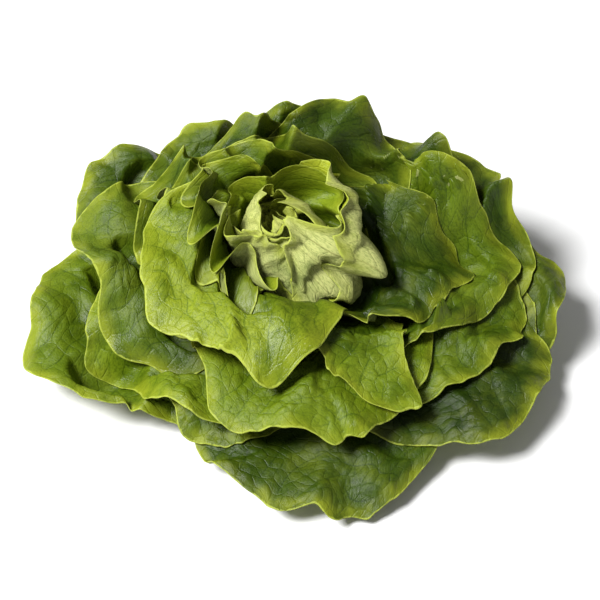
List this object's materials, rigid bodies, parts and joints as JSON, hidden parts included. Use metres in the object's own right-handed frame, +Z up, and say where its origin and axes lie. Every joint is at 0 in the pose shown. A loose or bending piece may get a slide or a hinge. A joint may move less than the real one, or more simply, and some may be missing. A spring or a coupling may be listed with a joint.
{
  "type": "butterhead lettuce",
  "caption": "Open head of butterhead lettuce as picked: soft waved leaves round a pale folded heart, standing on its cut stem.",
  "frame": {"origin": "middle of the stem's cut face, on the surface that the head stands on", "axes": "+Z up out of the head, -Y towards the side where the head opens lowest, X across it"},
  "size_m": [0.2832, 0.2032, 0.1147],
  "materials": {
    "stem": "pale green-white stalk with a browned, moist cut face",
    "heart": "pale yellow-green, thin and slightly see-through, blistered, moist",
    "inner_leaf": "yellow-green with a net of veins, blistered and waxy; paler grey-green underside",
    "middle_leaf": "mid green with a net of veins, blistered and waxy; thin yellow rim, paler underside",
    "outer_leaf": "dark green with a net of veins, blistered and glossy; thin yellow rim, paler underside"
  },
  "bodies": {
    "root": {"stem": "stem", "heart": "heart", "inner_leaf_1": "inner_leaf", "inner_leaf_2": "inner_leaf", "inner_leaf_3": "inner_leaf", "inner_leaf_4": "inner_leaf", "inner_leaf_5": "inner_leaf", "inner_leaf_6": "inner_leaf", "inner_leaf_7": "inner_leaf", "inner_leaf_8": "inner_leaf", "inner_leaf_9": "inner_leaf", "inner_leaf_10": "inner_leaf", "inner_leaf_11": "inner_leaf", "inner_leaf_12": "inner_leaf", "middle_leaf_1": "middle_leaf", "middle_leaf_2": "middle_leaf", "middle_leaf_3": "middle_leaf", "middle_leaf_4": "middle_leaf", "middle_leaf_5": "middle_leaf", "middle_leaf_6": "middle_leaf", "middle_leaf_7": "middle_leaf", "middle_leaf_8": "middle_leaf", "middle_leaf_9": "middle_leaf", "middle_leaf_10": "middle_leaf", "middle_leaf_11": "middle_leaf", "outer_leaf_1": "outer_leaf", "outer_leaf_2": "outer_leaf", "outer_leaf_3": "outer_leaf", "outer_leaf_4": "outer_leaf", "outer_leaf_5": "outer_leaf", "outer_leaf_6": "outer_leaf", "outer_leaf_7": "outer_leaf", "outer_leaf_8": "outer_leaf", "outer_leaf_9": "outer_leaf"}
  },
  "joints": []
}
